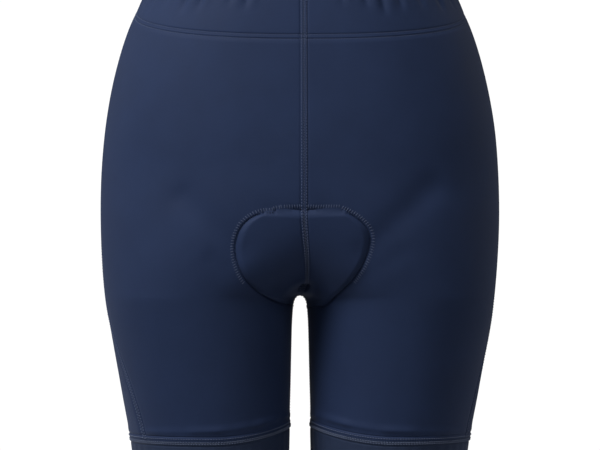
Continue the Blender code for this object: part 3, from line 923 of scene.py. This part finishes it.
def crossing_stitches(first, second, out, pitch, **shape):
    """Threads that cross a seam from one line to another and back."""
    share = np.linspace(0, 1, len(first))
    whole = min(lengths_along(first)[-1], lengths_along(second)[-1])
    count = max(int(whole / pitch), 2)
    steps = np.linspace(0, 1, 2 * count + 1)
    left = np.stack([np.interp(steps, lengths_share(first), first[:, axis]) for axis in range(3)], axis=-1)
    right = np.stack([np.interp(steps, lengths_share(second), second[:, axis]) for axis in range(3)], axis=-1)
    way = unit(np.stack([np.interp(steps, share, out[:, axis]) for axis in range(3)], axis=-1))
    zigzag = np.where((np.arange(len(steps)) % 2 == 0)[:, None], left, right)
    return stitches(zigzag[:-1], zigzag[1:], way[:-1], **shape)


def lengths_share(line):
    lengths = lengths_along(line)
    return lengths / lengths[-1]


def joined(name, runs, material):
    """Runs of stitches as one piece."""
    points = []
    faces = []
    for run_points, run_faces in runs:
        start = sum(len(part) for part in points)
        faces += [[corner + start for corner in face] for face in run_faces]
        points.append(run_points)
    piece = mesh_piece(name, np.concatenate(points), faces, material)
    dress(piece)
    return piece


def outline_of_pad(panel, distance):
    """Where the pad's outline, or a line at a distance inside it, crosses a panel, as one line."""
    depth = pad_depth(panel["base"]) - distance
    links = {}
    spots = {}
    rows, columns = depth.shape
    edges = (((0, 0), (0, 1)), ((0, 1), (1, 1)), ((1, 1), (1, 0)), ((1, 0), (0, 0)))
    signs = depth > 0
    mixed = signs[:-1, :-1].astype(int) + signs[1:, :-1] + signs[:-1, 1:] + signs[1:, 1:]
    for row, place in zip(*np.nonzero((mixed > 0) & (mixed < 4))):
        crossed = []
        for start, end in edges:
            here = (row + start[0], place + start[1])
            there = (row + end[0], place + end[1])
            if signs[here] != signs[there]:
                key = tuple(sorted((here, there)))
                share = depth[here] / (depth[here] - depth[there])
                both = [(panel[kind][here], panel[kind][there]) for kind in ("base", "out")]
                spots[key] = [(1 - share) * one + share * other for one, other in both]
                crossed.append(key)
        if len(crossed) == 2:
            links.setdefault(crossed[0], []).append(crossed[1])
            links.setdefault(crossed[1], []).append(crossed[0])
    lines = []
    unused = set(links)
    starts = sorted(key for key in links if len(links[key]) == 1)
    for start in starts:
        if start not in unused:
            continue
        line = [start]
        unused.discard(start)
        while True:
            onward = [key for key in links[line[-1]] if key in unused]
            if not onward:
                break
            line.append(onward[0])
            unused.discard(onward[0])
        lines.append(line)
    line = max(lines, key=len)
    return np.array([spots[key][0] for key in line]), unit(np.array([spots[key][1] for key in line]))


def pad_stitching(panels):
    """Dashes in the groove round the pad, and short threads that reach out over the cloth. The dashes are
    real stitches, but their near-black colour is painted shade of the groove.
    """
    dashes = []
    ticks = []
    for panel in panels.values():
        line, out = outline_of_pad(panel, 0)
        place, along, way = spaced(line, out, PAD_STITCH_PITCH)
        inward = unit(pad_gradient(place))
        start, start_out = on_cloth(place - inward * PAD_TICK[0])
        tip = on_cloth(place - inward * PAD_TICK[1] + along * PAD_TICK_SLANT)[0]
        seen = place[:, 2] > TICKS_END
        ticks.append(stitches(start[seen], tip[seen], start_out[seen], radius=TICK_RADIUS, sink=0))
        middle, middle_out = on_cloth(place)
        half = along * PAD_STITCH_PITCH * 0.3
        dashes.append(stitches(middle - half, middle + half, middle_out, radius=GROOVE_THREAD_RADIUS))
    joined("stitches_pad_groove", dashes, PAINTED_SHADE_THREAD)
    joined("stitches_pad_ticks", ticks, THREAD)


def on_cloth(points):
    """The points brought onto the dressed cloth near the pad, with the ways out there."""
    for _ in range(3):
        step = 0.00002
        ways = [step * axis for axis in np.eye(3)]
        slopes = [(misfit(points + way) - misfit(points - way)) / (2 * step) for way in ways]
        slopes = np.stack(slopes, axis=-1)
        points = points - (misfit(points) / (slopes**2).sum(axis=-1))[..., None] * slopes
    out = outward(points)
    relief = pad_emboss(points) + crease_relief(points) + unevenness(points) + crotch_hollow(points)
    placed = points + relief[..., None] * out
    placed[..., 0] += seam_drift(points)
    return placed, out


def pad_gradient(points):
    """Directions toward the inside of the pad's outline, along the cloth."""
    step = 0.0002
    slopes = [pad_depth(points + step * axis) - pad_depth(points - step * axis) for axis in np.eye(3)]
    slopes = np.stack(slopes, axis=-1)
    out = outward(points)
    return slopes - (slopes * out).sum(axis=-1, keepdims=True) * out


def seam_stitches(panels, bands):
    for face_name in FACES:
        runs = []
        parts = {side: (bands[side], panels[face_name, side]) for side in SIDES}
        for order in (0, 1):
            lines = {}
            for side_name, pieces in parts.items():
                piece = pieces[order]
                last = order == 0 and face_name == "back"
                stop = piece.get("crotch_row", len(piece["outer"]) - 1) + 1
                line, out = at_distance(piece, FLATLOCK_HALF_WIDTH - 0.0002, from_end=last)
                lines[side_name] = (line[:stop], out[:stop])
                runs.append(row_of_stitches(line[:stop], out[:stop]))
            first = lines["right"][0]
            second, out = lines["left"]
            runs.append(crossing_stitches(first, second, out, CROSSING_PITCH, radius=CROSSING_RADIUS))
        joined("stitches_centre_" + face_name, runs, THREAD)
    for side_name in SIDES:
        runs = []
        lines = []
        for face_name in FACES:
            line, out = at_distance(panels[face_name, side_name], FLATLOCK_HALF_WIDTH - 0.0002, from_end=True)
            lines.append((line, out))
            runs.append(row_of_stitches(line, out))
        first, out = lines[0]
        runs.append(crossing_stitches(first, lines[1][0], out, CROSSING_PITCH, radius=CROSSING_RADIUS))
        joined("stitches_side_" + side_name, runs, THREAD)
        runs = []
        for face_name in FACES:
            panel = panels[face_name, side_name]
            start = panel["crotch_row"]
            line, out = at_distance(panel, FLATLOCK_HALF_WIDTH - 0.0002)
            runs.append(row_of_stitches(line[start:], out[start:]))
        joined("stitches_inner_leg_" + side_name, runs, THREAD)
    runs = []
    for side_name in SIDES:
        for face_name in FACES:
            line, out = below_edge(panels[face_name, side_name], WAIST_ROW_BELOW)
            runs.append(row_of_stitches(line, out, radius=WAIST_THREAD_RADIUS))
        line, out = below_edge(bands[side_name], WAIST_ROW_ABOVE, from_end=True)
        runs.append(row_of_stitches(line, out, radius=WAIST_THREAD_RADIUS))
        for row in (ELASTIC_ROW, ELASTIC_ROW + ELASTIC_ROW_GAP):
            runs.append(row_of_stitches(*below_edge(bands[side_name], row), pitch=0.0030, length=0.0023))
    joined("stitches_waist", runs, THREAD)


def hem_stitches(panels, grippers):
    for side_name in SIDES:
        runs = []
        ring = grippers[side_name]
        for distance in (0.0012, 0.0027):
            line, out = below_edge(ring, distance)
            line = np.vstack([line, line[:1]])
            out = np.vstack([out, out[:1]])
            runs.append(row_of_stitches(line, out, **HEM_STITCH))
        for face_name in FACES:
            panel = panels[face_name, side_name]
            line, out = below_edge(panel, 0.0018, from_end=True)
            runs.append(row_of_stitches(line, out, **HEM_STITCH))
        low, low_out = below_edge(ring, 0.0034)
        high = below_edge(ring, 0.0002)[0]
        runs.append(crossing_stitches(low, high, low_out, 0.0026, radius=0.00020))
        joined("stitches_hem_" + side_name, runs, PALE_THREAD)


def material(name, colour, roughness, sheen, sheen_roughness):
    made = bpy.data.materials.new(name)
    made.use_nodes = True
    shader = made.node_tree.nodes["Principled BSDF"]
    shader.inputs["Metallic"].default_value = 0
    shader.inputs["Roughness"].default_value = roughness
    shader.inputs["Specular IOR Level"].default_value = 0.12
    shader.inputs["Sheen Weight"].default_value = sheen
    shader.inputs["Sheen Roughness"].default_value = sheen_roughness
    shader.inputs["Sheen Tint"].default_value = (0.55, 0.65, 1, 1)
    shader.inputs["Base Color"].default_value = colour
    return made, shader


def node(tree, kind, **values):
    made = tree.nodes.new(kind)
    for name, value in values.items():
        if name in made.inputs:
            made.inputs[name].default_value = value
        else:
            setattr(made, name, value)
    return made


def knit(name, colour, wale, course, roughness=0.62, sheen=0.06, mottle=0.10, bump=0.35):
    """Fine jersey: columns of loops at the wale pitch, rows at the course pitch, uneven in tone."""
    made, shader = material(name, colour, roughness, sheen, 0.45)
    tree = made.node_tree
    link = tree.links.new
    place = node(tree, "ShaderNodeUVMap", uv_map="Knit")
    split = node(tree, "ShaderNodeSeparateXYZ")
    link(place.outputs["UV"], split.inputs[0])
    heights = []
    for output, pitch in (("X", wale), ("Y", course)):
        scaled = node(tree, "ShaderNodeMath", operation="MULTIPLY")
        scaled.inputs[1].default_value = 2 * math.pi / pitch
        link(split.outputs[output], scaled.inputs[0])
        wave = node(tree, "ShaderNodeMath", operation="SINE")
        link(scaled.outputs[0], wave.inputs[0])
        heights.append(wave)
    loops = node(tree, "ShaderNodeMath", operation="MULTIPLY_ADD")
    loops.inputs[1].default_value = 0.5
    link(heights[1].outputs[0], loops.inputs[0])
    link(heights[0].outputs[0], loops.inputs[2])
    body = node(tree, "ShaderNodeTexCoord")
    fuzz = node(tree, "ShaderNodeTexNoise", Scale=1400, Detail=3, Roughness=0.6)
    link(body.outputs["Object"], fuzz.inputs["Vector"])
    rough = node(tree, "ShaderNodeMath", operation="MULTIPLY_ADD")
    rough.inputs[1].default_value = 1.2
    link(fuzz.outputs["Fac"], rough.inputs[0])
    link(loops.outputs[0], rough.inputs[2])
    relief = node(tree, "ShaderNodeBump", Strength=bump, Distance=0.00006)
    link(rough.outputs[0], relief.inputs["Height"])
    link(relief.outputs["Normal"], shader.inputs["Normal"])
    slow = node(tree, "ShaderNodeTexNoise", Scale=26, Detail=4, Roughness=0.55)
    link(body.outputs["Object"], slow.inputs["Vector"])
    both = node(tree, "ShaderNodeMath", operation="MULTIPLY_ADD")
    both.inputs[1].default_value = 0.5
    link(fuzz.outputs["Fac"], both.inputs[0])
    link(slow.outputs["Fac"], both.inputs[2])
    shade = node(tree, "ShaderNodeMapRange")
    shade.inputs["From Min"].default_value = 0.45
    shade.inputs["From Max"].default_value = 1.05
    shade.inputs["To Min"].default_value = 1 - mottle
    shade.inputs["To Max"].default_value = 1 + mottle
    link(both.outputs[0], shade.inputs["Value"])
    tone = node(tree, "ShaderNodeMix", data_type="RGBA", blend_type="MULTIPLY")
    tone.inputs["Factor"].default_value = 1
    tone.inputs[6].default_value = colour
    link(shade.outputs[0], tone.inputs[7])
    link(tone.outputs[2], shader.inputs["Base Color"])
    wear = node(tree, "ShaderNodeMapRange")
    wear.inputs["To Min"].default_value = roughness - 0.06
    wear.inputs["To Max"].default_value = roughness + 0.08
    link(slow.outputs["Fac"], wear.inputs["Value"])
    link(wear.outputs[0], shader.inputs["Roughness"])
    return made


def thread(name, colour):
    """Twisted thread, a little glossier than the cloth."""
    made, shader = material(name, colour, 0.5, 0.2, 0.4)
    tree = made.node_tree
    body = node(tree, "ShaderNodeTexCoord")
    ply = node(tree, "ShaderNodeTexNoise", Scale=2600, Detail=2)
    tree.links.new(body.outputs["Object"], ply.inputs["Vector"])
    relief = node(tree, "ShaderNodeBump", Strength=0.4, Distance=0.00005)
    tree.links.new(ply.outputs["Fac"], relief.inputs["Height"])
    tree.links.new(relief.outputs["Normal"], shader.inputs["Normal"])
    shade = node(tree, "ShaderNodeMapRange")
    shade.inputs["To Min"].default_value = 0.8
    shade.inputs["To Max"].default_value = 1.2
    tree.links.new(ply.outputs["Fac"], shade.inputs["Value"])
    tone = node(tree, "ShaderNodeMix", data_type="RGBA", blend_type="MULTIPLY")
    tone.inputs["Factor"].default_value = 1
    tone.inputs[6].default_value = colour
    tree.links.new(shade.outputs[0], tone.inputs[7])
    tree.links.new(tone.outputs[2], shader.inputs["Base Color"])
    return made


def floor():
    made, _ = material("floor_paint", (0.90, 0.90, 0.90, 1), 0.8, 0, 0.5)
    place = (0, 0, FLOOR_HEIGHT)
    bpy.ops.mesh.primitive_circle_add(vertices=96, radius=FLOOR_RADIUS, fill_type="NGON", location=place)
    piece = bpy.context.object
    piece.name = "floor"
    piece.data.materials.append(made)
    piece.visible_diffuse = False


def camera():
    data = bpy.data.cameras.new("camera")
    data.sensor_width = SENSOR
    data.lens = SENSOR * DISTANCE / (IMAGE_WIDTH * METRES_PER_PIXEL)
    made = bpy.data.objects.new("camera", data)
    bpy.context.scene.collection.objects.link(made)
    x, y, z = LOOKED_AT
    made.location = (x + DISTANCE * math.sin(AZIMUTH), y - DISTANCE * math.cos(AZIMUTH), z)
    made.rotation_euler = (math.pi / 2, 0, AZIMUTH)
    bpy.context.scene.camera = made


def lamp(name, place, size, watts, colour=(1, 1, 1)):
    data = bpy.data.lights.new(name, "AREA")
    data.shape = "RECTANGLE"
    data.size, data.size_y = size
    data.energy = watts
    data.color = colour
    made = bpy.data.objects.new(name, data)
    bpy.context.scene.collection.objects.link(made)
    made.location = place
    toward = np.array(LOOKED_AT) - np.array(place)
    flat = math.hypot(toward[0], toward[1])
    made.rotation_euler = (math.atan2(flat, -toward[2]), 0, math.atan2(-toward[0], toward[1]))


def world():
    made = bpy.data.worlds.new("studio")
    bpy.context.scene.world = made
    made.use_nodes = True
    tree = made.node_tree
    seen = tree.nodes["Background"]
    seen.inputs["Color"].default_value = (1, 1, 1, 1)
    seen.inputs["Strength"].default_value = 1.05
    lit = tree.nodes.new("ShaderNodeBackground")
    lit.inputs["Color"].default_value = (1, 1, 1, 1)
    lit.inputs["Strength"].default_value = WORLD_LIGHT
    rays = tree.nodes.new("ShaderNodeLightPath")
    mix = tree.nodes.new("ShaderNodeMixShader")
    tree.links.new(rays.outputs["Is Camera Ray"], mix.inputs["Fac"])
    tree.links.new(lit.outputs[0], mix.inputs[1])
    tree.links.new(seen.outputs[0], mix.inputs[2])
    tree.links.new(mix.outputs[0], tree.nodes["World Output"].inputs["Surface"])


KNIT = knit("panel_knit", NAVY, 0.0009, 0.0011)
BAND_KNIT = knit("waistband_knit", NAVY, 0.0009, 0.0011)
HEM_KNIT = knit("hem_knit", HEM_NAVY, 0.0011, 0.0008, roughness=0.68)
PAD_FLEECE = knit("pad_fleece", PAD_GREY, 0.0021, 0.0021, roughness=0.8, sheen=0.15, mottle=0.16, bump=0.8)
THREAD = thread("navy_thread", THREAD_COLOUR)
# Painted shade: the groove dashes' near-black colour stands in for the shadow in the pad's groove
PAINTED_SHADE_THREAD = thread("painted_shade_thread", PAINTED_SHADE_THREAD_COLOUR)
PALE_THREAD = thread("hem_thread", HEM_THREAD_COLOUR)

bands = {side: waistband(side) for side in SIDES}
panels = {(face, side): leg_panel(face, side) for face in FACES for side in SIDES}
grippers = {side: gripper(side) for side in SIDES}
seat_pad()
seam_stitches(panels, bands)
hem_stitches(panels, grippers)
pad_stitching(panels)

floor()
world()
lamp("key", (-1.50, -1.25, 1.60), (1.1, 1.1), 68)
lamp("fill", (0.6, -2.4, 1.6), (1.6, 1.2), 15)
lamp("rim_right", (2.4, 1.0, 0.8), (0.8, 2.0), 8)
lamp("rim_left", (-2.4, 1.0, 0.8), (0.8, 2.0), 10)
camera()
bpy.context.scene.view_settings.view_transform = "Standard"
